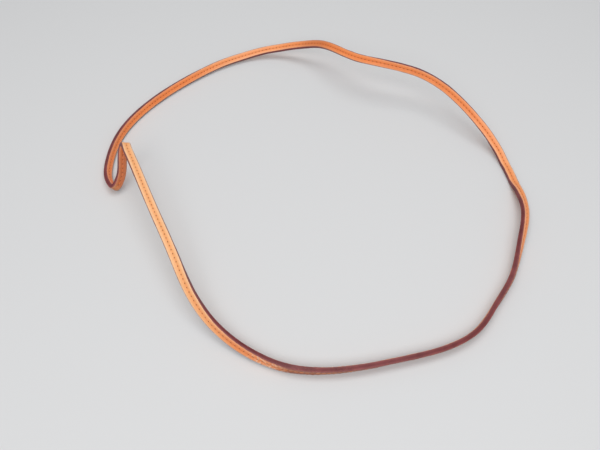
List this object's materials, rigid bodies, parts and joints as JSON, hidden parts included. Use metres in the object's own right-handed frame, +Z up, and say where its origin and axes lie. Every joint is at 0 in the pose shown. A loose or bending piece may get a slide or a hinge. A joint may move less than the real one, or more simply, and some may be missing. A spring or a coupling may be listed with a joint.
{
  "type": "neck strap",
  "caption": "Long flat neck strap of tan leather, sewn in two layers along the middle with dark painted edges, lying in one loose endless loop; carries a small travel pouch.",
  "frame": {"origin": "middle of the loop's bounding box, on the table the strap lies on", "axes": "+Z up from the table; +Y away from the viewer of the picture; +X to the viewer's right"},
  "size_m": [0.3405, 0.3402, 0.0417],
  "materials": {
    "front_leather": "satin grain, tan",
    "back_leather": "satin grain, tan",
    "tape": "matte, undyed",
    "needle_thread": "waxed, brown",
    "bobbin_thread": "waxed, brown",
    "outer_edge_paint": "satin, burgundy",
    "inner_edge_paint": "satin, burgundy"
  },
  "bodies": {
    "root": {"front_strip": "front_leather", "back_strip": "back_leather", "bonding_tape": "tape", "needle_thread": "needle_thread", "bobbin_thread": "bobbin_thread", "edge_coat_outer": "outer_edge_paint", "edge_coat_inner": "inner_edge_paint"}
  },
  "joints": []
}
